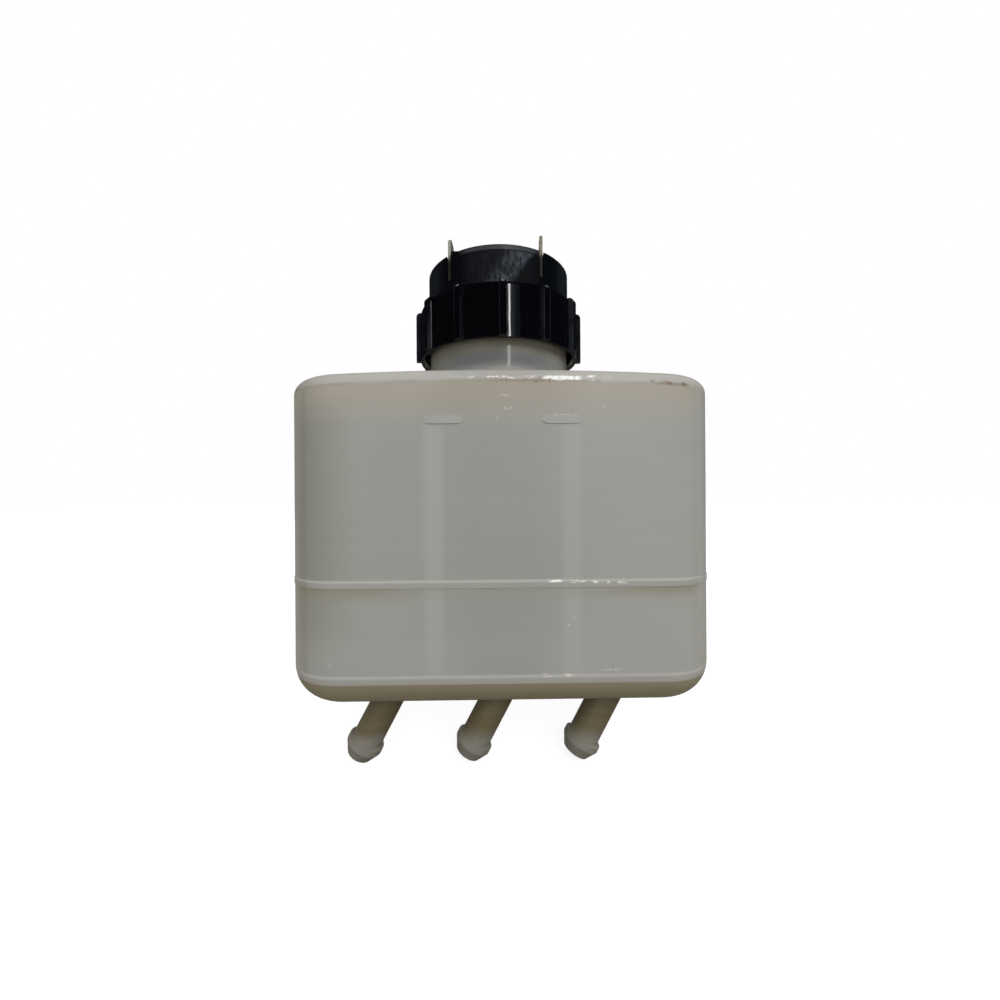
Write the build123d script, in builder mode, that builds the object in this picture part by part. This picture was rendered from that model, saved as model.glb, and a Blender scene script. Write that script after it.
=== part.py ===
from build123d import *
import os
from math import cos, radians, sin

# Brake fluid reservoir: a two-piece moulded tank with three slanted hose outlets underneath, and
# a two-piece screw cap that holds a float level switch with two blade terminals.
# The origin is the middle of the tank's flat back wall. +Z is up and the front looks to -Y.
# Lengths are in millimetres. A value named a height or a level is counted from the tank's base.

# Tank
tank_width = 112.0
tank_depth = 58.6
tank_height = 85.5
wall = 2.5
corner_radius = 15.0
base_radius = 10.0
top_radius = 3.8
top_crown = 1.8
seam_height = 31.2

# Weld rim of the upper shell, proud of the front and the ends
weld_rim_height = 1.7
weld_rim_proud = 0.15

# Partitions that stand on the floor and part the space into three chambers
partition_offset = 17.2
partition_thickness = 2.2
partition_gap = 14.5
partition_clearance = 0.3
partition_draft = 0.25

# Raised bars at the highest fluid level
max_drop = 13.05
max_bar_length = 9.3
max_bar_width = 2.1
max_bar_proud = 0.2
max_bar_offset = 14.55

# Outlets
outlet_pitch = 30.3
outlet_setback = 15.3
outlet_slant = 28.0
outlet_length = 20.6
outlet_shank_radius = 4.2
outlet_bore_radius = 2.5
outlet_root_fillet = 0.8
barb_start = 15.6
barb_radius = 5.1
barb_land = 1.5
barb_shoulder = 0.5
barb_tip_radius = 3.5

# Neck
neck_radius = 21.15
neck_bore_radius = 18.0
neck_height = 18.9
neck_root_fillet = 2.5
neck_rim_chamfer = 0.5

# Cap: the stack on the neck's rim, and the turns of its two parts that the photograph shows
turning_gap = 0.3
gasket_thickness = 1.5
flange_thickness = 1.5
lip_thickness = 1.9
head_angle = -4.6
collar_angle = 1.0

# Collar
collar_height = 14.7
collar_wall = 1.5
rib_count = 13
rib_width = 2.0
rib_depth = 1.4
rib_top_radius = 1.4
collar_top_fillet = 0.9
mouth_chamfer = 0.8

# Switch base
flange_radius = 22.2
spigot_wall = 1.6
spigot_depth = 4.1
spigot_clearance = 0.3
guide_radius = 3.6
guide_length = 31.4
rod_clearance = 0.08
gusset_count = 4
gusset_thickness = 1.2
gusset_reach = 9.0
gusset_depth = 16.0
locating_ring_height = 3.0
locating_ring_wall = 1.3
vent_radius = 0.75
vent_offset = 13.0

# Switch cover
cover_radius = 21.45
cover_wall = 1.8
cover_headroom = 0.6
cover_rim_chamfer = 0.3
cover_clearance = 0.1
vent_notch_width = 2.0
vent_notch_height = 0.8
slot_width = 1.2
slot_floor_height = 5.6
slot_wall = 2.0
slot_reach = 0.8
guard_front = 17.6
guard_width = 2.0
guard_rise = 0.7
guard_length = 5.0

# Blade terminals
blade_offset = 12.7
blade_front = 16.2
blade_width = 6.3
blade_thickness = 0.8
blade_length = 12.7
blade_tip_chamfer = 1.3
blade_hole_radius = 0.9
blade_hole_drop = 4.0
blade_clearance = 0.1
leg_width = 3.3
leg_gap = 1.0
foot_width = 5.4
foot_end = 3.0

# Rivets
rivet_offset = 10.3
rivet_radius = 1.2
rivet_clearance = 0.05
rivet_head_radius = 1.7
rivet_head_height = 0.9
rivet_tail_radius = 2.0
rivet_tail_height = 0.8

# Float and contact bridge
rod_radius = 1.5
rod_shoulder_radius = 2.4
rod_shoulder_height = 0.9
rod_end = 1.2
rod_tip = 0.6
rod_end_chamfer = 0.3
groove_radius = 1.1
bridge_radius = 12.0
bridge_thickness = 0.8
clip_thickness = 0.8
clip_radius = 3.4
clip_mouth = 1.8
clip_clearance = 0.05
float_radius = 12.0
float_length = 16.0
float_fillet = 1.0
float_bore_clearance = 0.15
float_stroke = 6.5
stop_clearance = 0.3

# Levels that follow
tank_base = -tank_height / 2
max_level = tank_height - max_drop
partition_height = tank_height - partition_gap
neck_y = -tank_depth / 2
rim_level = tank_height + neck_height
flange_level = rim_level + gasket_thickness
deck_level = flange_level + flange_thickness
collar_top = deck_level + lip_thickness
collar_base = collar_top - collar_height
slot_floor = deck_level + slot_floor_height
blade_top = slot_floor + blade_length
foot_top = deck_level + blade_thickness
bridge_level = foot_top + rivet_head_height
guide_end = flange_level - guide_length
float_top_clip_top = guide_end - stop_clearance - float_stroke
float_top = float_top_clip_top - clip_thickness
float_bottom = float_top - float_length
rod_bottom = float_bottom - clip_thickness - rod_end
bridge_clip_level = bridge_level + bridge_thickness
rod_top = bridge_clip_level + clip_thickness + rod_tip
cover_top = rod_top + float_stroke + cover_headroom + cover_wall
cover_height = cover_top - deck_level

# Radii that follow
collar_bore_radius = flange_radius + turning_gap
collar_radius = collar_bore_radius + collar_wall
rib_radius = collar_radius + rib_depth
lip_radius = cover_radius + turning_gap
spigot_radius = neck_bore_radius - spigot_clearance
guide_bore_radius = rod_radius + rod_clearance
cover_bore_radius = cover_radius - cover_wall
locating_ring_radius = cover_bore_radius - cover_clearance


def level(height, turn=0.0):
    """Horizontal plane on the neck's axis, at a height above the tank's base."""
    ahead = (cos(radians(turn)), sin(radians(turn)), 0)
    return Plane(origin=(0, neck_y, tank_base + height), x_dir=ahead, z_dir=(0, 0, 1))


def upright(turn=0.0, offset=0.0):
    """Upright plane through the neck's axis: x is the radius and y the height."""
    ahead = Vector(cos(radians(turn)), sin(radians(turn)), 0)
    normal = Vector(sin(radians(turn)), -cos(radians(turn)), 0)
    middle = Vector(0, neck_y, tank_base) + normal * offset
    return Plane(origin=middle, x_dir=ahead, z_dir=normal)


neck_axis = Axis((0, neck_y, tank_base), (0, 0, 1))


def ring(bottom, top, outer, inner, turn=0.0):
    """Plain ring on the neck's axis."""
    with BuildPart() as made:
        with BuildSketch(level(bottom, turn)):
            Circle(outer)
            Circle(inner, mode=Mode.SUBTRACT)
        extrude(amount=top - bottom)
    return made.part


def tank_form(inset):
    """The tank's outer form, or the space in it when inset by the wall."""
    half = tank_width / 2 - inset
    top = tank_height - inset
    crown_radius = (half**2 + top_crown**2) / (2 * top_crown)
    with BuildPart() as form:
        with BuildSketch(level(inset)):
            RectangleRounded(2 * half, tank_depth - 2 * inset, corner_radius - inset)
        extrude(amount=top - inset)
        with BuildSketch(upright()):
            with Locations((0, top - crown_radius)):
                Circle(crown_radius)
        extrude(amount=tank_depth, both=True, mode=Mode.INTERSECT)
        fillet(form.faces().sort_by(Axis.Z)[-1].edges(), top_radius - inset)
        fillet(form.faces().sort_by(Axis.Z)[0].edges(), base_radius - inset)
    return form.part


tank_block = tank_form(0)
tank_space = tank_form(wall)


# Outlet: a straight shank with one barb at its end, drawn along +Z from the tank's base.
# Its root runs back into the floor, and the chamber's space trims it there.
with BuildPart() as outlet:
    barb_end = barb_start + barb_shoulder + barb_land
    with BuildSketch(Plane.XZ):
        with BuildLine():
            Polyline(
                (0, -base_radius / 2),
                (outlet_shank_radius, -base_radius / 2),
                (outlet_shank_radius, barb_start),
                (barb_radius, barb_start + barb_shoulder),
                (barb_radius, barb_end),
                (barb_tip_radius, outlet_length),
                (0, outlet_length),
                close=True,
            )
        make_face()
    revolve(axis=Axis.Z)

outlet_y = -tank_depth + outlet_setback
outlet_direction = (-sin(radians(outlet_slant)), 0, -cos(radians(outlet_slant)))
outlet_planes = [
    Plane(origin=(side * outlet_pitch, outlet_y, tank_base), x_dir=(0, 1, 0), z_dir=outlet_direction)
    for side in (-1, 0, 1)
]


# Lower stretch of the partitions, with its ends in the middle of the wall
with BuildPart() as partition_feet:
    with BuildSketch(level(0)):
        with Locations((-partition_offset, 0), (partition_offset, 0)):
            Rectangle(partition_thickness, tank_depth)
    extrude(amount=seam_height)
    add(tank_form(wall / 2), mode=Mode.INTERSECT)

# Lower shell: floor, walls up to the seam, partitions and outlets in one moulding
with BuildPart() as lower_shell:
    add(tank_block)
    split(bisect_by=level(seam_height), keep=Keep.BOTTOM)
    with Locations(*outlet_planes):
        add(outlet.part)
    base_face = lower_shell.faces().filter_by(Axis.Z).sort_by(Axis.Z)[0]
    fillet(base_face.inner_wires().edges(), outlet_root_fillet)
    add(tank_space, mode=Mode.SUBTRACT)
    for place in outlet_planes:
        with BuildSketch(place.offset(-2 * wall)):
            Circle(outlet_bore_radius)
        extrude(amount=outlet_length + 2 * wall, mode=Mode.SUBTRACT)
    # The partitions are joined to the walls below the seam and stand free of them above it
    add(partition_feet.part)
    with BuildSketch(level(seam_height)):
        with Locations((-partition_offset, 0), (partition_offset, 0)):
            Rectangle(partition_thickness, tank_depth - 2 * (wall + partition_clearance))
    extrude(amount=partition_height - seam_height, taper=partition_draft)
lower_shell.part.label = "lower_shell"


# Weld rim: a low band over the seam, left off the back so that the back wall seats flat
with BuildPart() as weld_rim:
    with BuildSketch(level(seam_height)):
        RectangleRounded(
            tank_width + 2 * weld_rim_proud,
            tank_depth + 2 * weld_rim_proud,
            corner_radius + weld_rim_proud,
        )
    extrude(amount=weld_rim_height)
    chamfer(weld_rim.faces().sort_by(Axis.Z)[-1].edges(), weld_rim_proud * 0.8)
    split(bisect_by=Plane(origin=(0, -corner_radius, 0), z_dir=(0, -1, 0)), keep=Keep.TOP)

# Upper shell: walls, weld rim, crowned top and neck in one moulding
with BuildPart() as upper_shell:
    add(tank_block)
    split(bisect_by=level(seam_height), keep=Keep.TOP)
    add(weld_rim.part)
    front = Plane(origin=(0, -tank_depth, tank_base + max_level), x_dir=(1, 0, 0), z_dir=(0, -1, 0))
    with BuildSketch(front):
        with Locations((-max_bar_offset, 0), (max_bar_offset, 0)):
            SlotOverall(max_bar_length, max_bar_width)
    extrude(amount=max_bar_proud)
    with BuildSketch(level(tank_height - wall)):
        Circle(neck_radius)
    extrude(amount=neck_height + wall)
    neck_side = upper_shell.faces().filter_by(GeomType.CYLINDER).sort_by(Axis.Z)[-1]
    fillet(neck_side.edges().group_by(Axis.Z)[0], neck_root_fillet)
    chamfer(upper_shell.faces().sort_by(Axis.Z)[-1].edges(), neck_rim_chamfer)
    add(tank_space, mode=Mode.SUBTRACT)
    with BuildSketch(level(tank_height / 2)):
        Circle(neck_bore_radius)
    extrude(amount=tank_height, mode=Mode.SUBTRACT)
upper_shell.part.label = "upper_shell"


# Collar: a ring with a lip over the flange and grip ribs round it
with BuildPart() as collar:
    with BuildSketch(upright()):
        with BuildLine():
            Polyline(
                (collar_bore_radius + mouth_chamfer, collar_base),
                (collar_radius, collar_base),
                (collar_radius, collar_top),
                (lip_radius, collar_top),
                (lip_radius, deck_level),
                (collar_bore_radius, deck_level),
                (collar_bore_radius, collar_base + mouth_chamfer),
                close=True,
            )
        make_face()
    revolve(axis=neck_axis)
    fillet(
        collar.edges().filter_by(GeomType.CIRCLE).group_by(Axis.Z)[-1].sort_by(SortBy.RADIUS)[-1],
        collar_top_fillet,
    )
    rib_foot = collar_radius - collar_wall / 2
    for turn in range(rib_count):
        angle = collar_angle - 90 + turn * 360 / rib_count
        with BuildSketch(upright(angle, -rib_width / 2)) as rib_profile:
            with BuildLine():
                Polyline(
                    (rib_foot, collar_base),
                    (rib_radius, collar_base),
                    (rib_radius, collar_top),
                    (rib_foot, collar_top),
                    close=True,
                )
            make_face()
            fillet(rib_profile.vertices().sort_by(Axis.X)[-2:].sort_by(Axis.Y)[-1], rib_top_radius)
        extrude(amount=rib_width)
collar.part.label = "collar"


# Neck gasket
neck_gasket = ring(rim_level, flange_level, flange_radius - turning_gap, spigot_radius + turning_gap)
neck_gasket.label = "neck_gasket"


# Switch base: flange, spigot, guide tube with gussets and a ring that centres the cover
with BuildPart() as switch_base:
    add(ring(flange_level, deck_level, flange_radius, guide_bore_radius))
    add(ring(flange_level - spigot_depth, flange_level, spigot_radius, spigot_radius - spigot_wall))
    add(ring(guide_end, flange_level, guide_radius, guide_bore_radius))
    add(
        ring(
            deck_level,
            deck_level + locating_ring_height,
            locating_ring_radius,
            locating_ring_radius - locating_ring_wall,
        )
    )
    gusset_foot = (guide_radius + guide_bore_radius) / 2
    for turn in range(gusset_count):
        angle = head_angle + (turn + 0.5) * 360 / gusset_count
        with BuildSketch(upright(angle, -gusset_thickness / 2)):
            with BuildLine():
                Polyline(
                    (gusset_foot, deck_level - flange_thickness / 2),
                    (guide_radius + gusset_reach, deck_level - flange_thickness / 2),
                    (guide_radius + gusset_reach, flange_level),
                    (guide_radius, flange_level - gusset_depth),
                    (gusset_foot, flange_level - gusset_depth),
                    close=True,
                )
            make_face()
        extrude(amount=gusset_thickness)
    # Gaps in the ring for the terminals' legs, holes for the rivets and the vent
    with BuildSketch(level(deck_level, head_angle)):
        with Locations((-blade_offset, -blade_front), (blade_offset, -blade_front)):
            Rectangle(foot_width, 2 * (blade_width + leg_gap))
    extrude(amount=locating_ring_height, mode=Mode.SUBTRACT)
    with BuildSketch(level(flange_level, head_angle)):
        with Locations((-rivet_offset, 0), (rivet_offset, 0)):
            Circle(rivet_radius + rivet_clearance)
        with Locations((0, vent_offset)):
            Circle(vent_radius)
    extrude(amount=flange_thickness, mode=Mode.SUBTRACT)
switch_base.part.label = "switch_base"


# Switch cover: a drum, closed at the top. A thick pad holds each blade in a slit, with an open
# slot in front of the blade's edge.
blade_back = blade_front - blade_width
with BuildPart() as switch_cover:
    with BuildSketch(level(deck_level, head_angle)):
        Circle(cover_radius)
    extrude(amount=cover_height)
    chamfer(switch_cover.faces().sort_by(Axis.Z)[-1].edges(), cover_rim_chamfer)
    with BuildSketch(level(deck_level, head_angle)):
        Circle(cover_bore_radius)
        with Locations((-blade_offset, slot_wall - blade_back), (blade_offset, slot_wall - blade_back)):
            Rectangle(
                slot_width + 2 * slot_wall,
                cover_radius,
                align=(Align.CENTER, Align.MAX),
                mode=Mode.SUBTRACT,
            )
    extrude(amount=cover_height - cover_wall, mode=Mode.SUBTRACT)
    # The pads end above the deck, so the space for the feet runs under them
    with BuildSketch(level(deck_level, head_angle)):
        Circle(cover_bore_radius)
    extrude(amount=slot_floor_height - slot_wall, mode=Mode.SUBTRACT)
    with BuildSketch(level(slot_floor, head_angle)):
        slot_end = slot_reach - blade_front
        with Locations((-blade_offset, slot_end), (blade_offset, slot_end)):
            Rectangle(slot_width, cover_radius, align=(Align.CENTER, Align.MAX))
    extrude(amount=cover_height, mode=Mode.SUBTRACT)
    with BuildSketch(level(deck_level, head_angle)):
        blade_middle = (blade_width / 2) - blade_front
        with Locations((-blade_offset, blade_middle), (blade_offset, blade_middle)):
            Rectangle(blade_thickness + 2 * blade_clearance, blade_width + 2 * blade_clearance)
    extrude(amount=2 * cover_height, mode=Mode.SUBTRACT)
    # Guard beside the left blade, and the vent notch at the back of the lower edge
    with BuildSketch(level(cover_top - guard_rise, head_angle)):
        with Locations((-blade_offset + slot_width / 2, -guard_front)):
            Rectangle(guard_width, guard_length, align=(Align.MIN, Align.MIN))
    extrude(amount=2 * guard_rise)
    with BuildSketch(level(deck_level, head_angle)):
        with Locations((0, cover_bore_radius)):
            Rectangle(vent_notch_width, 4 * cover_wall)
    extrude(amount=vent_notch_height, mode=Mode.SUBTRACT)
switch_cover.part.label = "switch_cover"


def terminal(side):
    """One blade terminal: a blade on a leg, bent inwards to a foot on the deck."""
    head = level(0, head_angle)
    blade_plane = Plane(
        origin=head.from_local_coords((side * blade_offset, 0, 0)),
        x_dir=head.y_dir,
        z_dir=head.x_dir,
    )
    leg_front = -blade_back - leg_width
    with BuildPart() as made:
        with BuildSketch(blade_plane):
            with BuildLine():
                Polyline(
                    (-blade_front, slot_floor),
                    (-blade_front, blade_top - blade_tip_chamfer),
                    (-blade_front + blade_tip_chamfer, blade_top),
                    (-blade_back - blade_tip_chamfer, blade_top),
                    (-blade_back, blade_top - blade_tip_chamfer),
                    (-blade_back, deck_level),
                    (leg_front, deck_level),
                    (leg_front, slot_floor),
                    close=True,
                )
            make_face()
            with Locations((blade_width / 2 - blade_front, blade_top - blade_hole_drop)):
                Circle(blade_hole_radius, mode=Mode.SUBTRACT)
        extrude(amount=blade_thickness / 2, both=True)
        with BuildSketch(level(deck_level, head_angle)):
            with Locations((side * (blade_offset + blade_thickness / 2 - foot_width / 2), leg_front)):
                Rectangle(foot_width, foot_end - leg_front, align=(Align.CENTER, Align.MIN))
            with Locations((side * rivet_offset, 0)):
                Circle(rivet_radius + rivet_clearance, mode=Mode.SUBTRACT)
        extrude(amount=blade_thickness)
    return made.part


terminal_left = terminal(-1)
terminal_left.label = "terminal_left"
terminal_right = terminal(1)
terminal_right.label = "terminal_right"


# Rivets through the feet and the flange: their heads are the fixed contacts
with BuildPart() as terminal_rivets:
    rivet_places = [(-rivet_offset, 0), (rivet_offset, 0)]
    for bottom, height, radius in (
        (flange_level - rivet_tail_height, rivet_tail_height, rivet_tail_radius),
        (flange_level, foot_top - flange_level, rivet_radius),
        (foot_top, rivet_head_height, rivet_head_radius),
    ):
        with BuildSketch(level(bottom, head_angle)):
            with Locations(*rivet_places):
                Circle(radius)
        extrude(amount=height)
    tails = terminal_rivets.faces().filter_by(Axis.Z).group_by(Axis.Z)[0]
    fillet(tails.edges(), rivet_tail_height / 2)
terminal_rivets.part.label = "terminal_rivets"


# Contact bridge: the disc that lies on both rivet heads when the float is down
contact_bridge = ring(
    bridge_level, bridge_level + bridge_thickness, bridge_radius, rod_radius + clip_clearance
)
contact_bridge.label = "contact_bridge"


# Float rod, with a shoulder under the bridge and a groove for each clip
clip_levels = {
    "float_bottom_clip": float_bottom - clip_thickness,
    "float_top_clip": float_top,
    "bridge_clip": bridge_clip_level,
}
with BuildPart() as float_rod:
    with BuildSketch(level(rod_bottom)):
        Circle(rod_radius)
    extrude(amount=rod_top - rod_bottom)
    chamfer(float_rod.faces().filter_by(Axis.Z).edges(), rod_end_chamfer)
    with BuildSketch(level(bridge_level - rod_shoulder_height)):
        Circle(rod_shoulder_radius)
    extrude(amount=rod_shoulder_height)
    for groove_level in clip_levels.values():
        add(
            ring(groove_level, groove_level + clip_thickness, rod_shoulder_radius, groove_radius),
            mode=Mode.SUBTRACT,
        )
float_rod.part.label = "float_rod"


def clip(bottom):
    """Open spring clip that is pushed into a groove of the rod from the side."""
    with BuildPart() as made:
        with BuildSketch(level(bottom, head_angle)):
            Circle(clip_radius)
            Circle(groove_radius + clip_clearance, mode=Mode.SUBTRACT)
            Rectangle(clip_mouth, clip_radius, align=(Align.CENTER, Align.MAX), mode=Mode.SUBTRACT)
        extrude(amount=clip_thickness)
    return made.part


clips = []
for name, bottom in clip_levels.items():
    made_clip = clip(bottom)
    made_clip.label = name
    clips.append(made_clip)


# Float
with BuildPart() as float_body:
    with BuildSketch(level(float_bottom)):
        Circle(float_radius)
    extrude(amount=float_length)
    fillet(float_body.faces().filter_by(Axis.Z).edges(), float_fillet)
    with BuildSketch(level(float_bottom)):
        Circle(rod_radius + float_bore_clearance)
    extrude(amount=float_length, mode=Mode.SUBTRACT)
float_body.part.label = "float_body"


os.makedirs("parts", exist_ok=True)
pieces = [
    lower_shell.part,
    upper_shell.part,
    collar.part,
    neck_gasket,
    switch_base.part,
    switch_cover.part,
    terminal_left,
    terminal_right,
    terminal_rivets.part,
    contact_bridge,
    float_rod.part,
    float_body.part,
    *clips,
]
for piece in pieces:
    export_step(piece, f"parts/{piece.label}.step")
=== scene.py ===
"""Brake fluid reservoir: finishes, neck thread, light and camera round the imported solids."""
import math

import bpy
from mathutils import Matrix, Vector


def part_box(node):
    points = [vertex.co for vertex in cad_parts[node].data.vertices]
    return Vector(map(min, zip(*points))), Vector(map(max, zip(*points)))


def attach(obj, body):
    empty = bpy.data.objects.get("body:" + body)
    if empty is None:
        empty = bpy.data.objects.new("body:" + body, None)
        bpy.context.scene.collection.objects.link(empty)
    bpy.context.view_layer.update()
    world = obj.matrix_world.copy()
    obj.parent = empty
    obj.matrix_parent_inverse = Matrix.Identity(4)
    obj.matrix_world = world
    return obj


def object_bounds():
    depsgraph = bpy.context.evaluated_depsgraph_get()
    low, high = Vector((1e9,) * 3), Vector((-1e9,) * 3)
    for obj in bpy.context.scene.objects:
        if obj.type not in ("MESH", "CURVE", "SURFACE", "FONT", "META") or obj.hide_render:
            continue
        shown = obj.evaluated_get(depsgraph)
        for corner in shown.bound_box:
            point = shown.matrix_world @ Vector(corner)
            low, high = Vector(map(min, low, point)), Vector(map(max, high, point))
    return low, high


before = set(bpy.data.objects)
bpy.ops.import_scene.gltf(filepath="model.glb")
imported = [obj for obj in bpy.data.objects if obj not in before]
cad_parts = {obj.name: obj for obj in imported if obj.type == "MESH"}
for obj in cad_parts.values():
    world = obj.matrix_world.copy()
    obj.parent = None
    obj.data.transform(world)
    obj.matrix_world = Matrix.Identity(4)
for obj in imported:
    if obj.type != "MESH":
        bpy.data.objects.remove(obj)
cad_low, cad_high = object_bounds()
bpy.ops.object.select_all(action="DESELECT")

MM = 0.001

# Heights above the tank's base, in millimetres
SEAM_HEIGHT = 31.2
TOP_EDGE = 82.1
BAR_HEIGHT = 72.45
PARTITION_TOP = 71.0
BASE_EDGE = 9.5
NECK_FOOT = 86.5

# Places read from the frame, in metres
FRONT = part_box("lower_shell")[0].y
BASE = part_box("upper_shell")[0].z - SEAM_HEIGHT * MM
NECK_Y = sum(corner.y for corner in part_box("neck_gasket")) / 2


def height_of(z):
    """Height in millimetres above the tank's base of a height in the frame."""
    return (z - BASE) / MM


# Sizes and heights in millimetres
HALF_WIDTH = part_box("lower_shell")[1].x / MM
TOP_CROWN = 1.8
CORNER_DEPTH = 22.6
WELD_RIM_WIDTH = 1.6
WELD_RIM_TOP = SEAM_HEIGHT + 1.7
PARTITION_OFFSET = 17.0
BAR_OFFSET = 14.55
BAR_LENGTH = 9.0
BAR_WIDTH = 1.9
COLLAR_BASE = height_of(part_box("collar")[0].z)
COLLAR_TOP = height_of(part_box("collar")[1].z)
GUARD_RISE = 0.7
COVER_TOP = height_of(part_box("switch_cover")[1].z) - GUARD_RISE

# Neck thread
NECK_RADIUS = 21.15 * MM
THREAD_ROOT = 20.95 * MM
THREAD_CREST = 22.15 * MM
THREAD_START = BASE + (COLLAR_BASE + 2.2) * MM
THREAD_PITCH = 4.0 * MM
THREAD_TURNS = 1.25
THREAD_STEPS = 150
RUN_OUT_STEPS = 8
ROOT_WIDTH = 2.0 * MM
CREST_WIDTH = 0.9 * MM
SECTION_CORNERS = 4
SMOOTH_ANGLE = math.radians(30)

# Collar ribs
COLLAR_TURN = math.radians(1.0)
RIBS = 13
RIB_CREST = 25.4
RIB_WIDTH = 2.0

# Torn flash on the tank, where glints are painted: height, thickness, middle, length and fade at the
# ends
FLASH = (
    (TOP_EDGE + 0.7, 1.0, 19.0, 8.0, 5.0),
    (TOP_EDGE + 0.7, 0.4, 6.5, 22.0, 12.0),
    (WELD_RIM_TOP - 0.1, 0.4, 13.5, 5.0, 2.5),
    (WELD_RIM_TOP - 0.1, 0.2, 21.0, 8.0, 8.0),
    (BASE_EDGE + 0.3, 0.3, 13.2, 4.0, 3.0),
)

# Nicks in the front wall, where glints are painted: place across, height, length and width
NICKS = (
    (0.4, 78.4, 2.6, 0.50),
    (1.4, 75.2, 1.8, 0.60),
    (-1.3, 72.6, 0.3, 0.50),
    (24.8, 75.4, 0.4, 0.50),
    (17.6, 23.8, 0.8, 0.15),
    (16.2, 22.0, 1.8, 0.15),
    (17.4, 26.0, 0.5, 0.20),
    (-42.5, 12.6, 0.5, 0.60),
    (15.6, 73.5, 5.5, 0.10),
    (26.5, 10.9, 4.5, 0.15),
)

# Camera, as close to the part as in the photograph
PICTURE = 1000
FOCAL = 412.0
CAMERA_PLACE = (-0.0040, -0.1593, 0.0117)
CAMERA_SWING = math.radians(-0.89)
CAMERA_ROLL = 0.006
CAMERA_SHIFT = (0.0070, -0.0072)


def srgb(red, green, blue):
    """Linear colour of an sRGB one given from 0 to 255."""
    return tuple(
        c / 255 / 12.92 if c <= 10 else ((c / 255 + 0.055) / 1.055) ** 2.4
        for c in (red, green, blue)
    )


class Finish:
    """A material whose nodes read the object's own coordinates.

    across, behind and height are in millimetres, from the middle of the tank, from its front
    wall and from its base. side is the distance from the middle to either hand. shade is the
    colour so far: each finish sets it first and then paints over it.
    """

    def __init__(self, name, roughness, **sockets):
        self.material = bpy.data.materials.new(name)
        self.material.use_nodes = True
        self.tree = self.material.node_tree
        self.shader = self.tree.nodes["Principled BSDF"]
        self.shader.inputs["Roughness"].default_value = roughness
        for socket, value in sockets.items():
            self.shader.inputs[socket.replace("_", " ")].default_value = value
        self.place = self.add("ShaderNodeTexCoord").outputs["Object"]
        split = self.add("ShaderNodeSeparateXYZ")
        self.join(self.place, split.inputs[0])
        x, y, z = split.outputs
        self.across = self.sum("DIVIDE", x, MM)
        self.behind = self.sum("DIVIDE", self.sum("SUBTRACT", y, FRONT), MM)
        self.height = self.sum("DIVIDE", self.sum("SUBTRACT", z, BASE), MM)
        self.side = self.sum("ABSOLUTE", self.across)
        self.shade = None

    def add(self, kind, **settings):
        node = self.tree.nodes.new(kind)
        for key, value in settings.items():
            setattr(node, key, value)
        return node

    def join(self, source, socket):
        if isinstance(source, bpy.types.NodeSocket):
            self.tree.links.new(source, socket)
        elif isinstance(source, tuple) and len(source) == 3 and socket.type == "RGBA":
            socket.default_value = (*source, 1)
        else:
            socket.default_value = source

    def sum(self, operation, first, second=0.0, clamp=False):
        node = self.add("ShaderNodeMath", operation=operation, use_clamp=clamp)
        self.join(first, node.inputs[0])
        self.join(second, node.inputs[1])
        return node.outputs[0]

    def times(self, *factors):
        result = factors[0]
        for factor in factors[1:]:
            result = self.sum("MULTIPLY", result, factor)
        return result

    def most(self, first, second):
        return self.sum("MAXIMUM", first, second)

    def ramp(self, value, low, high):
        """0 where value is low, 1 where it is high, with soft ends."""
        node = self.add("ShaderNodeMapRange", interpolation_type="SMOOTHSTEP")
        self.join(value, node.inputs["Value"])
        node.inputs["From Min"].default_value = low
        node.inputs["From Max"].default_value = high
        return node.outputs["Result"]

    def band(self, value, middle, width, soft):
        """1 within the band round middle, falling to 0 over soft."""
        off = self.sum("ABSOLUTE", self.sum("SUBTRACT", value, middle))
        return self.ramp(off, width / 2 + soft, width / 2)

    def noise(self, scale, detail=2.0, stretch=(1, 1, 1), roughness=0.5):
        mapping = self.add("ShaderNodeMapping")
        mapping.inputs["Scale"].default_value = stretch
        self.join(self.place, mapping.inputs["Vector"])
        node = self.add("ShaderNodeTexNoise")
        self.join(mapping.outputs[0], node.inputs["Vector"])
        node.inputs["Scale"].default_value = scale
        node.inputs["Detail"].default_value = detail
        node.inputs["Roughness"].default_value = roughness
        return node.outputs["Fac"]

    def mix(self, factor, under, over):
        node = self.add("ShaderNodeMix", data_type="RGBA")
        self.join(factor, node.inputs["Factor"])
        self.join(under, node.inputs["A"])
        self.join(over, node.inputs["B"])
        return node.outputs["Result"]

    def paint(self, factor, shade):
        """Lay a shade over what is there, where factor is 1, and pass it to the shader."""
        self.shade = self.mix(factor, self.shade, shade)
        self.join(self.shade, self.shader.inputs["Base Color"])

    def rough(self, source, low, high):
        node = self.add("ShaderNodeMapRange")
        self.join(source, node.inputs["Value"])
        node.inputs["To Min"].default_value = low
        node.inputs["To Max"].default_value = high
        self.join(node.outputs["Result"], self.shader.inputs["Roughness"])

    def bump(self, *layers, start=None):
        """Each layer is a height source, its height in millimetres and a strength."""
        normal = start
        for height, distance, strength in layers:
            node = self.add("ShaderNodeBump")
            self.join(height, node.inputs["Height"])
            node.inputs["Distance"].default_value = distance * MM
            self.join(strength, node.inputs["Strength"])
            if normal is not None:
                self.join(normal, node.inputs["Normal"])
            normal = node.outputs["Normal"]
        self.join(normal, self.shader.inputs["Normal"])


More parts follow.
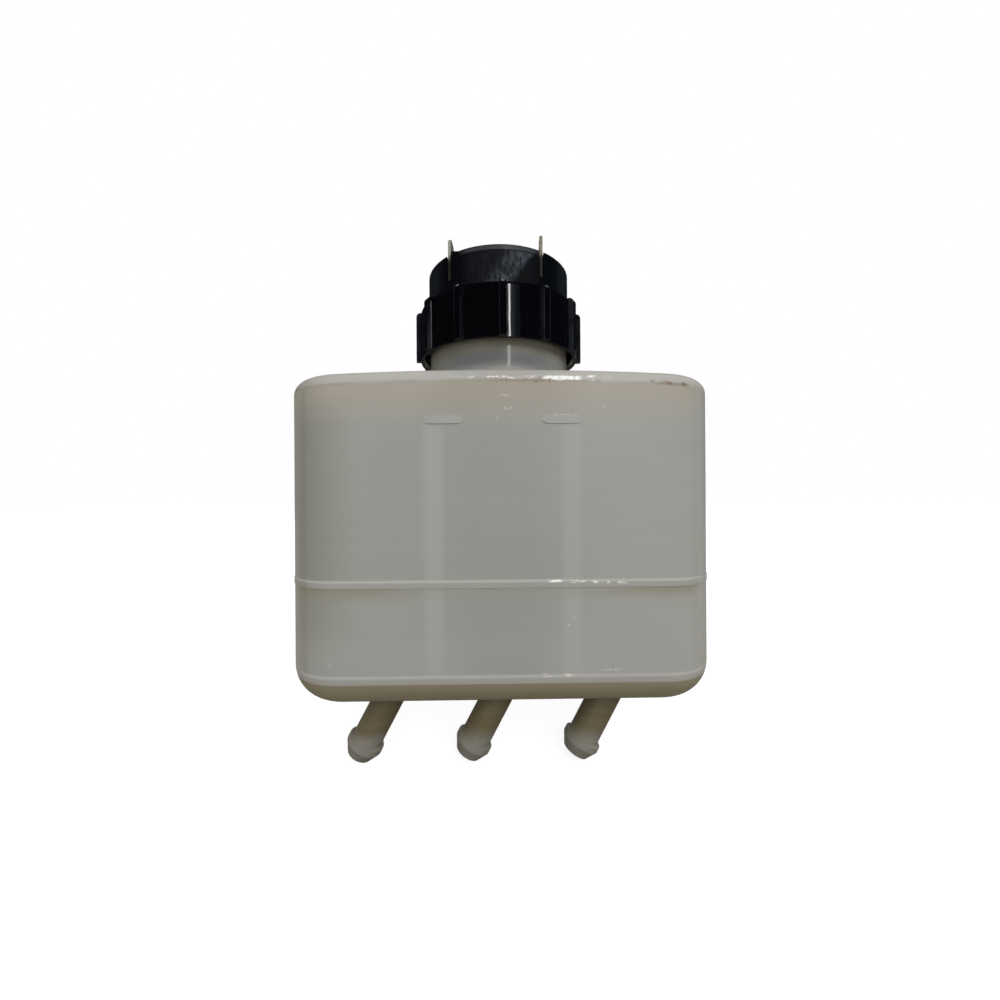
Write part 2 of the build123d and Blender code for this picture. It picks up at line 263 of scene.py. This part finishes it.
class TankPlastic(Finish):
    """Natural plastic of the tank, satin and tinted, with painted light and shade and the marks of
    its moulding.
    """

    def __init__(self):
        super().__init__(
            "natural_plastic", 0.4, IOR=1.5, Subsurface_Weight=0.12, Subsurface_Scale=0.004
        )
        self.shader.inputs["Subsurface Radius"].default_value = (1.0, 0.95, 0.8)
        mottled = self.ramp(self.noise(28.0, 3.0), 0.35, 0.65)
        self.shade = self.mix(mottled, srgb(146, 147, 142), srgb(149, 150, 145))
        # Height that follows the crowned top, so that the top edge falls towards both ends
        drop = self.times(self.across, self.across, TOP_CROWN / HALF_WIDTH**2)
        self.crowned = self.sum("ADD", self.height, drop)
        self.on_wall = self.ramp(self.crowned, TOP_EDGE + 0.1, TOP_EDGE - 0.1)
        self.near_front = self.ramp(self.behind, 6.0, 4.0)
        self.front_corners = self.ramp(self.behind, CORNER_DEPTH, 13.6)
        self.walls()
        self.top()
        self.level_bars()
        self.grime()
        self.partitions()
        self.weld_rim()
        self.corners()
        self.base()
        self.neck()
        self.outlets()
        self.dirt()
        self.flow_lines_and_glints()
        self.surface()

    def walls(self):
        """Painted light to the right and low down, and painted shade round the left corner."""
        facing = self.ramp(self.behind, CORNER_DEPTH, 12.6)
        self.paint(self.times(facing, self.ramp(self.across, 6, 30)), srgb(153, 154, 149))
        self.paint(self.times(facing, self.ramp(self.across, -34, -44)), srgb(139, 139, 132))
        self.paint(self.times(facing, self.ramp(self.height, 29, 12), 0.7), srgb(154, 154, 150))

    def top(self):
        """A warmer tint on the upper wall, deeper in the middle, and the rounded top over it, with
        painted light along its front edge and painted shade behind it and at the left end.
        """
        warm_tint = self.mix(self.ramp(self.side, 10, 24), srgb(154, 146, 134), srgb(161, 154, 143))
        self.paint(self.times(self.ramp(self.height, 70, 80), self.on_wall, 0.85), warm_tint)
        # Painted light along the front of the rounded top, painted shade behind it and at the left
        # end
        lit_front_edge = self.mix(self.ramp(self.side, 6, 22), srgb(155, 153, 147), srgb(165, 162, 156))
        shaded_left_end = self.ramp(self.across, -44, -52)
        lit_front_edge = self.mix(shaded_left_end, lit_front_edge, srgb(150, 147, 139))
        lit_and_shaded_top = self.mix(self.ramp(self.behind, 13, 3), srgb(129, 128, 124), lit_front_edge)
        self.paint(self.ramp(self.crowned, TOP_EDGE - 0.1, TOP_EDGE + 0.2), lit_and_shaded_top)

    def level_bars(self):
        bars = self.times(
            self.band(self.side, BAR_OFFSET, BAR_LENGTH, 0.3),
            self.band(self.height, BAR_HEIGHT, BAR_WIDTH, 0.2),
            self.ramp(self.behind, 4.0, 2.0),
        )
        self.paint(self.times(bars, 0.8), srgb(155, 156, 151))

    def heavy_dirt(self):
        """The two stretches of the top edge that hold the most dirt."""
        return self.most(self.band(self.across, 6, 6, 8), self.band(self.across, 42, 6, 6))

    def grime(self):
        """Grime along the edge where the rounded top begins."""
        share = self.sum("ADD", self.times(self.heavy_dirt(), 0.6), 0.2)
        broken = self.ramp(self.noise(120.0, 3.0), 0.36, 0.62)
        edge = self.band(self.crowned, TOP_EDGE, 0.2, 0.5)
        self.paint(self.times(edge, broken, share), srgb(118, 102, 80))

    def partitions(self):
        """The partitions show through the wall as two pale stripes."""
        below_top = self.ramp(self.height, PARTITION_TOP + 1.5, PARTITION_TOP - 1.5)
        between = self.ramp(self.side, PARTITION_OFFSET + 0.5, 4.0)
        self.paint(self.times(between, below_top, 0.6), srgb(142, 143, 138))
        stripe = self.band(self.side, PARTITION_OFFSET, 2.4, 2.2)
        self.paint(self.times(stripe, below_top, 0.75), srgb(157, 158, 153))

    def along(self):
        """1 along the walls, less round the front corners."""
        corner = self.times(self.ramp(self.side, 48.0, 54.0), self.front_corners)
        return self.sum("SUBTRACT", 1.0, self.times(corner, 0.75))

    def weld_rim(self):
        """Weld rim painted paler, with a painted highlight along its upper edge and painted shade
        under its ends.
        """
        rim = self.band(self.height, SEAM_HEIGHT + WELD_RIM_WIDTH / 2, WELD_RIM_WIDTH, 0.2)
        # Painted light on the rim band
        self.paint(self.times(rim, self.along(), 0.9), srgb(151, 151, 146))
        lit_upper_edge = self.band(self.height, WELD_RIM_TOP, 0.3, 0.4)
        # Painted highlight along the rim's upper edge
        self.paint(self.times(lit_upper_edge, self.along(), 0.6), srgb(178, 178, 172))
        ends = self.sum("ADD", self.times(self.ramp(self.side, 12, 40), 0.85), 0.15)
        under = self.times(
            self.ramp(self.height, SEAM_HEIGHT - 3.8, SEAM_HEIGHT - 0.6),
            self.ramp(self.height, SEAM_HEIGHT + 0.1, SEAM_HEIGHT - 0.1),
        )
        self.paint(self.times(under, ends), srgb(139, 136, 122))

    def corners(self):
        """Painted light on the outermost edges of the front corners, and a painted shade line where
        each rounding begins.
        """
        rounded = self.times(self.front_corners, self.on_wall)
        lit_left_edge = self.ramp(self.across, -50.0, -54.5)
        # Painted light on the corner edges, against their shading
        self.paint(self.times(rounded, lit_left_edge), srgb(176, 171, 159))
        lit_right_edge = self.ramp(self.across, 46.0, 52.0)
        self.paint(self.times(rounded, lit_right_edge), srgb(156, 155, 151))
        left_line = self.band(self.across, -49.5, 0.6, 0.8)
        right_line = self.times(self.band(self.across, 48.3, 0.6, 0.8), 0.35)
        line = self.most(left_line, right_line)
        # Painted shade line where each rounding begins
        self.paint(self.times(line, rounded, 0.22), srgb(122, 118, 104))

    def base(self):
        """Painted light on the strip and the line where the base rounding begins, painted shade on
        the olive rounding under it, and painted light from below at its foot.
        """
        lilac = self.times(self.ramp(self.height, BASE_EDGE + 0.5, BASE_EDGE - 0.1), self.along())
        # Painted light on the strip above the base rounding, and a painted highlight line
        self.paint(lilac, srgb(157, 154, 150))
        line = self.band(self.height, BASE_EDGE, 0.3, 0.5)
        self.paint(self.times(line, self.along(), 0.6), srgb(182, 182, 180))
        # Painted shade on the base rounding, with painted light from below at its foot
        self.paint(self.ramp(self.height, BASE_EDGE - 1.8, BASE_EDGE - 2.1), srgb(132, 124, 103))
        self.paint(self.ramp(self.height, 5.0, 0.8), srgb(152, 143, 120))

    def neck(self):
        """Neck, with painted shade down its middle and painted light on its sides, and painted light
        towards and under the collar that lifts the collar's shadow.
        """
        turned = self.mix(self.ramp(self.side, 7, 18), srgb(101, 103, 104), srgb(126, 127, 121))
        self.paint(self.ramp(self.height, NECK_FOOT, NECK_FOOT + 3.5), turned)
        # Painted light near and under the collar, against the collar's shadow
        lit_near_collar = self.ramp(self.height, COLLAR_BASE - 4.1, COLLAR_BASE - 1.1)
        self.paint(self.times(lit_near_collar, 0.9), srgb(132, 130, 117))
        lit_under_collar = self.ramp(self.height, COLLAR_BASE - 0.7, COLLAR_BASE + 0.6)
        self.paint(lit_under_collar, srgb(168, 166, 154))

    def outlets(self):
        self.paint(self.ramp(self.height, -0.2, -1.2), srgb(98, 89, 66))
        self.paint(self.ramp(self.height, -9.5, -14.0), srgb(126, 123, 114))

    def dirt(self):
        """Specks of dirt along the top edge."""
        specks = self.times(
            self.ramp(self.noise(900.0, 2.0), 0.56, 0.66),
            self.band(self.crowned, TOP_EDGE + 0.1, 0.6, 0.8),
            self.heavy_dirt(),
        )
        self.paint(self.times(specks, 0.6), srgb(96, 82, 60))

    def torn_flash_glints(self):
        """Torn flash on the top edge, the weld rim and the base line, where glints are painted."""
        torn = self.ramp(self.noise(900.0, 4.0, (0.40, 1, 1.4), 0.7), 0.50, 0.62)
        flash = 0.0
        for height, thickness, middle, length, fade in FLASH:
            edge = self.band(self.crowned, height, thickness, 0.4)
            flash = self.most(flash, self.times(edge, self.band(self.across, middle, length, fade)))
        # The thickest stretch, on the top edge, is nearly unbroken
        ridge = self.times(
            self.band(self.crowned, TOP_EDGE + 0.65, 0.7, 0.3),
            self.band(self.across, 14.9, 7.0, 1.6),
            self.ramp(self.noise(700.0, 3.0), 0.34, 0.50),
        )
        return self.most(self.times(flash, torn), ridge)

    def nick_glints(self):
        ragged = self.ramp(self.noise(2400.0, 3.0, (0.8, 1, 1.6), 0.7), 0.46, 0.66)
        marks = 0.0
        for place, height, length, width in NICKS:
            nick = self.times(
                self.band(self.across, place, length, 0.15),
                self.band(self.height, height, width, 0.12),
            )
            marks = self.most(marks, nick)
        return self.times(marks, ragged)

    def flow_lines_and_glints(self):
        """Faint flow lines of the moulding, and painted glints on the torn flash and nicks on the
        front.
        """
        flow = self.ramp(self.noise(420.0, 3.0, (0.10, 0.10, 1)), 0.35, 0.70)
        self.paint(self.times(flow, 0.05), srgb(176, 176, 170))
        # Painted glints on the torn flash and the nicks
        marks = self.times(self.most(self.torn_flash_glints(), self.nick_glints()), self.near_front)
        self.paint(marks, srgb(232, 231, 226))

    def surface(self):
        """Satin walls and a glossier neck."""
        satin = self.sum("ADD", self.times(self.noise(60.0, 4.0), 0.37), 0.63)
        below_neck = self.ramp(self.height, NECK_FOOT + 3.0, NECK_FOOT - 1.0)
        self.rough(self.times(satin, below_neck), 0.10, 0.48)
        self.bump((self.noise(22.0, 2.0), 0.6, 0.25), (self.noise(1800.0, 2.0), 0.03, 0.35))


def collar_finish():
    """Gloss black, with painted highlights along the rib edges and on the top corners of the ribs.
    """
    collar = Finish("gloss_black", 0.12, IOR=1.5)
    collar.shade = collar.mix(collar.noise(40.0), srgb(2, 2, 4), srgb(6, 7, 10))
    ahead = collar.sum("SUBTRACT", (NECK_Y - FRONT) / MM, collar.behind)
    turned = collar.sum("SUBTRACT", collar.sum("ARCTAN2", collar.across, ahead), COLLAR_TURN)
    pitch = collar.add("ShaderNodeMath", operation="WRAP")
    collar.join(turned, pitch.inputs[0])
    collar.join(math.pi / RIBS, pitch.inputs[1])
    collar.join(-math.pi / RIBS, pitch.inputs[2])
    from_rib = collar.times(collar.sum("ABSOLUTE", pitch.outputs[0]), RIB_CREST)
    # Painted highlights along the rib edges, broken up by noise
    lit_rib_edge = collar.band(from_rib, RIB_WIDTH / 2 - 0.05, 0.10, 0.12)
    patchy_highlight = collar.ramp(collar.noise(260.0, 3.0, (1, 1, 0.25)), 0.30, 0.62)
    collar.paint(collar.times(lit_rib_edge, patchy_highlight, 0.55), srgb(50, 53, 60))
    # Painted highlight on the top corner of each rib
    lit_rib_top = collar.times(
        collar.band(from_rib, 0.0, 0.5, 0.4),
        collar.band(collar.height, COLLAR_TOP - 0.6, 0.2, 0.4),
    )
    collar.paint(collar.times(lit_rib_top, 0.8), srgb(112, 116, 124))
    # Gloss outside, dull underneath
    under = collar.ramp(collar.height, COLLAR_BASE + 0.3, COLLAR_BASE)
    wear = collar.times(collar.noise(90.0, 3.0), 0.07)
    collar.rough(collar.sum("ADD", wear, under, clamp=True), 0.04, 0.60)
    edges = collar.add("ShaderNodeBevel", samples=6)
    edges.inputs["Radius"].default_value = 0.25 * MM
    collar.bump((collar.noise(120.0, 2.0), 0.1, 0.25), start=edges.outputs["Normal"])
    return collar


def cover_finish():
    """Black, spark-eroded between the blades and smooth elsewhere, with a painted pool of light on
    the eroded panel and a painted highlight along the rim.
    """
    cover = Finish("eroded_black", 0.45, IOR=1.5)
    cover.shade = srgb(5, 7, 11)
    grain = cover.noise(1100.0, 4.0, (1.3, 1.3, 0.4), 0.75)
    cloud = cover.noise(110.0, 2.0)
    panel = cover.times(
        cover.ramp(cover.side, 11.2, 10.0),
        cover.ramp(cover.behind, 24.6, 18.6),
        cover.ramp(cover.height, COVER_TOP - 1.6, COVER_TOP - 1.9),
    )
    # The texture carries a painted pool of light up to a slanting line
    above_collar = cover.sum("SUBTRACT", cover.height, COLLAR_TOP + 0.2)
    slant = cover.sum("SUBTRACT", cover.across, cover.times(above_collar, 0.72))
    lit_patch = cover.times(cover.ramp(slant, 3.4, 1.4), cover.ramp(slant, -6.2, -0.6))
    faint_lit_patch = cover.times(cover.ramp(cover.across, -10.8, -7.6), cover.ramp(slant, 3.4, 1.0))
    shine = cover.sum("ADD", cover.times(lit_patch, 0.70), cover.times(faint_lit_patch, 0.09))
    lit_grain = cover.times(
        panel, cover.ramp(grain, 0.30, 0.80), cover.ramp(cloud, 0.20, 0.55), shine
    )
    cover.paint(lit_grain, srgb(88, 94, 106))
    # Painted highlight along the top rim
    rim = cover.times(
        cover.band(cover.height, COVER_TOP - 0.9, 0.8, 0.3), cover.ramp(cover.side, 12.0, 8.0)
    )
    cover.paint(cover.times(rim, 0.6), srgb(74, 76, 80))
    cover.paint(cover.ramp(cover.side, 15.0, 19.0), srgb(25, 28, 32))
    cover.rough(panel, 0.30, 0.55)
    cover.bump((grain, 0.12, cover.times(panel, 0.9)), (cover.noise(90.0), 0.1, 0.2))
    return cover


def blade_finish():
    """Tin plate, with painted shade down in the slot of the cover."""
    tin = Finish("tin_plate", 0.35, Metallic=0.6)
    tarnish = tin.ramp(tin.noise(350.0, 4.0, (1, 1, 0.3)), 0.4, 0.7)
    tin.shade = tin.mix(tarnish, srgb(196, 193, 184), srgb(160, 149, 128))
    # Painted shade on the blade down in the slot
    tin.paint(tin.ramp(tin.height, COVER_TOP + 0.8, COVER_TOP - 1.7), srgb(62, 59, 53))
    tin.rough(tin.noise(500.0, 3.0), 0.28, 0.45)
    tin.bump((tin.noise(1200.0, 2.0, (1, 1, 0.15)), 0.02, 0.3))
    return tin


def contact_finish():
    brass = Finish("contact_brass", 0.3, Metallic=1.0)
    brass.shade = srgb(190, 160, 96)
    brass.paint(brass.noise(200.0, 3.0), srgb(160, 128, 70))
    brass.rough(brass.noise(600.0), 0.22, 0.4)
    return brass


def clip_finish():
    steel = Finish("clip_steel", 0.3, Metallic=1.0)
    steel.shade = srgb(160, 162, 166)
    steel.paint(steel.noise(400.0, 3.0), srgb(120, 122, 126))
    steel.rough(steel.noise(700.0), 0.2, 0.4)
    return steel


def gasket_finish():
    rubber = Finish("black_rubber", 0.7)
    rubber.shade = srgb(24, 24, 25)
    rubber.paint(rubber.noise(300.0, 3.0), srgb(34, 34, 35))
    rubber.bump((rubber.noise(1500.0), 0.05, 0.3))
    return rubber


def float_finish():
    pale = Finish("float_plastic", 0.45, IOR=1.5)
    pale.shade = srgb(196, 194, 184)
    pale.paint(pale.noise(120.0, 3.0), srgb(182, 180, 170))
    pale.bump((pale.noise(1300.0), 0.04, 0.4))
    return pale


def dress(finish, *names):
    """Give the named solids a finish."""
    for name in names:
        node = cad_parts[name]
        node.data.materials.clear()
        node.data.materials.append(finish.material)


def make_neck_thread(finish):
    """Helical ridge round the neck, run out at both ends."""
    foot = (0, NECK_Y, THREAD_START)
    bpy.ops.mesh.primitive_plane_add(size=1, location=foot)
    thread = bpy.context.object
    thread.name = "neck_thread"
    # The section of the ridge: a square made narrower at its crest
    bpy.ops.object.mode_set(mode="EDIT")
    bpy.ops.mesh.select_all(action="SELECT")
    bpy.ops.transform.rotate(value=math.pi / 2, orient_axis="X", center_override=foot)
    section = (THREAD_CREST - THREAD_ROOT, 1, ROOT_WIDTH)
    bpy.ops.transform.resize(value=section, center_override=foot)
    bpy.ops.transform.translate(value=((THREAD_CREST + THREAD_ROOT) / 2, 0, 0))
    bpy.ops.mesh.delete(type="ONLY_FACE")
    bpy.ops.object.mode_set(mode="OBJECT")
    for vertex in thread.data.vertices:
        if vertex.co.x > NECK_RADIUS:
            vertex.co.z *= CREST_WIDTH / ROOT_WIDTH
    turns = thread.modifiers.new("turns", "SCREW")
    turns.angle = 2 * math.pi * THREAD_TURNS
    turns.screw_offset = THREAD_PITCH * THREAD_TURNS
    turns.steps = turns.render_steps = THREAD_STEPS
    bpy.ops.object.modifier_apply(modifier=turns.name)
    # Both ends are closed and sink into the neck
    bpy.ops.object.mode_set(mode="EDIT")
    bpy.ops.mesh.select_all(action="DESELECT")
    bpy.ops.mesh.select_mode(type="EDGE")
    bpy.ops.mesh.select_non_manifold()
    bpy.ops.mesh.fill_holes(sides=0)
    bpy.ops.mesh.select_all(action="SELECT")
    bpy.ops.mesh.normals_make_consistent(inside=False)
    bpy.ops.object.mode_set(mode="OBJECT")
    for vertex in thread.data.vertices:
        step = vertex.index // SECTION_CORNERS
        risen = min(1.0, min(step, THREAD_STEPS - step) / RUN_OUT_STEPS)
        radius = math.hypot(vertex.co.x, vertex.co.y)
        shrink = (THREAD_ROOT + (radius - THREAD_ROOT) * risen) / radius
        vertex.co.x *= shrink
        vertex.co.y *= shrink
    bpy.ops.object.shade_smooth_by_angle(angle=SMOOTH_ANGLE)
    bpy.ops.object.transform_apply(location=True)
    thread.data.materials.append(finish.material)
    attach(thread, "tank")
    bpy.ops.object.select_all(action="DESELECT")


def area_light(name, size, power, place, aim, glossy=True):
    data = bpy.data.lights.new(name, "AREA")
    data.shape = "RECTANGLE"
    data.size, data.size_y = size
    data.energy = power
    lamp = bpy.data.objects.new(name, data)
    bpy.context.scene.collection.objects.link(lamp)
    lamp.location = place
    lamp.rotation_euler = (Vector(aim) - Vector(place)).to_track_quat("-Z", "Y").to_euler()
    lamp.visible_glossy = glossy
    return lamp


def light_part():
    """Soft lamps all round, and a strip with a bluish glow beside it that the gloss reflects."""
    middle = (0, -0.03, 0.01)
    cap = (0, -0.03, 0.055)
    area_light("key", (0.9, 0.6), 8.7, (0.30, -0.85, 0.62), middle, glossy=False)
    area_light("top", (0.6, 0.6), 2.6, (0.0, -0.10, 0.90), (0, -0.03, 0.04), glossy=False)
    area_light("fill", (0.9, 0.5), 4.0, (-0.35, -0.95, -0.02), (0, -0.03, 0.02), glossy=False)
    area_light("strip", (0.010, 0.30), 0.22, (0.150, -0.62, 0.25), cap)
    for width, power, across in ((0.035, 0.009, 0.180), (0.075, 0.010, 0.200), (0.13, 0.012, 0.228)):
        glow = area_light("glow", (width, 0.30), power, (across, -0.60, 0.25), cap)
        glow.data.color = (0.72, 0.84, 1.0)
    area_light("rear", (0.9, 0.7), 7.0, (-0.15, 0.95, 0.40), middle, glossy=False)
    for name, across in (("left", -0.95), ("right", 0.95)):
        area_light(name, (0.6, 0.6), 2.0, (across, 0.25, 0.25), middle, glossy=False)


def choice(tree, factor, otherwise, chosen):
    node = tree.nodes.new("ShaderNodeMix")
    node.data_type = "RGBA"
    tree.links.new(factor, node.inputs["Factor"])
    for value, socket in ((otherwise, node.inputs["A"]), (chosen, node.inputs["B"])):
        if isinstance(value, tuple):
            socket.default_value = (*value, 1)
        else:
            tree.links.new(value, socket)
    return node.outputs["Result"]


def make_room():
    """White to the camera, dim grey as light, dark in front and pale behind in reflections."""
    world = bpy.data.worlds.new("world")
    bpy.context.scene.world = world
    world.use_nodes = True
    tree = world.node_tree
    path = tree.nodes.new("ShaderNodeLightPath")
    toward = tree.nodes.new("ShaderNodeTexCoord")
    split = tree.nodes.new("ShaderNodeSeparateXYZ")
    behind = tree.nodes.new("ShaderNodeMapRange")
    behind.inputs["From Min"].default_value = 0.88
    behind.inputs["From Max"].default_value = 0.99
    tree.links.new(toward.outputs["Generated"], split.inputs[0])
    tree.links.new(split.outputs["Y"], behind.inputs["Value"])
    white, grey = (1.0, 1.0, 1.0), (0.16, 0.165, 0.17)
    dark, pale = (0.012, 0.013, 0.016), (0.45, 0.48, 0.52)
    reflected = choice(tree, behind.outputs["Result"], dark, pale)
    room = choice(tree, path.outputs["Is Glossy Ray"], grey, reflected)
    room = choice(tree, path.outputs["Is Camera Ray"], room, white)
    tree.links.new(room, tree.nodes["Background"].inputs["Color"])


def paper_material():
    """Warm grey as light, and to the camera white with a soft shadow near the part."""
    paper = bpy.data.materials.new("paper")
    paper.use_nodes = True
    nodes, links = paper.node_tree.nodes, paper.node_tree.links
    shader = nodes["Principled BSDF"]
    shader.inputs["Base Color"].default_value = (0.22, 0.20, 0.16, 1)
    shader.inputs["Roughness"].default_value = 0.9
    white = nodes.new("ShaderNodeEmission")
    matt = nodes.new("ShaderNodeBsdfDiffuse")
    matt.inputs["Color"].default_value = (0.30, 0.30, 0.30, 1)
    near = nodes.new("ShaderNodeTexCoord")
    reach = nodes.new("ShaderNodeVectorMath")
    reach.operation = "LENGTH"
    fade = nodes.new("ShaderNodeMapRange")
    fade.inputs["From Min"].default_value = 0.15
    fade.inputs["From Max"].default_value = 0.60
    fade.inputs["To Min"].default_value = 0.84
    fade.inputs["To Max"].default_value = 1.0
    links.new(near.outputs["Object"], reach.inputs[0])
    links.new(reach.outputs["Value"], fade.inputs["Value"])
    links.new(fade.outputs["Result"], white.inputs["Strength"])
    both = nodes.new("ShaderNodeAddShader")
    links.new(white.outputs["Emission"], both.inputs[0])
    links.new(matt.outputs["BSDF"], both.inputs[1])
    path = nodes.new("ShaderNodeLightPath")
    blend = nodes.new("ShaderNodeMixShader")
    links.new(path.outputs["Is Camera Ray"], blend.inputs["Fac"])
    links.new(shader.outputs["BSDF"], blend.inputs[1])
    links.new(both.outputs["Shader"], blend.inputs[2])
    links.new(blend.outputs["Shader"], nodes["Material Output"].inputs["Surface"])
    return paper


def lay_floor():
    """Floor just under the outlets."""
    bpy.ops.mesh.primitive_plane_add(size=6, location=(0, 0, cad_low.z - 0.2 * MM))
    floor = bpy.context.object
    floor.name = "floor"
    floor.data.materials.append(paper_material())


def set_camera():
    data = bpy.data.cameras.new("camera")
    camera = bpy.data.objects.new("camera", data)
    bpy.context.scene.collection.objects.link(camera)
    bpy.context.scene.camera = camera
    data.sensor_width = 36.0
    data.lens = FOCAL / PICTURE * data.sensor_width
    data.shift_x, data.shift_y = CAMERA_SHIFT
    data.clip_start = 0.01
    data.clip_end = 50
    camera.matrix_world = (
        Matrix.Translation(CAMERA_PLACE)
        @ Matrix.Rotation(CAMERA_SWING, 4, "Z")
        @ Matrix.Rotation(CAMERA_ROLL, 4, "Y")
        @ Matrix.Rotation(math.pi / 2, 4, "X")
    )
    bpy.context.scene.view_settings.view_transform = "Standard"


tank_plastic = TankPlastic()
dress(tank_plastic, "lower_shell", "upper_shell")
dress(collar_finish(), "collar")
dress(cover_finish(), "switch_cover", "switch_base")
dress(gasket_finish(), "neck_gasket")
dress(blade_finish(), "terminal_left", "terminal_right")
dress(contact_finish(), "terminal_rivets", "contact_bridge")
dress(clip_finish(), "bridge_clip", "float_top_clip", "float_bottom_clip")
dress(float_finish(), "float_rod", "float_body")
make_neck_thread(tank_plastic)
light_part()
make_room()
lay_floor()
set_camera()
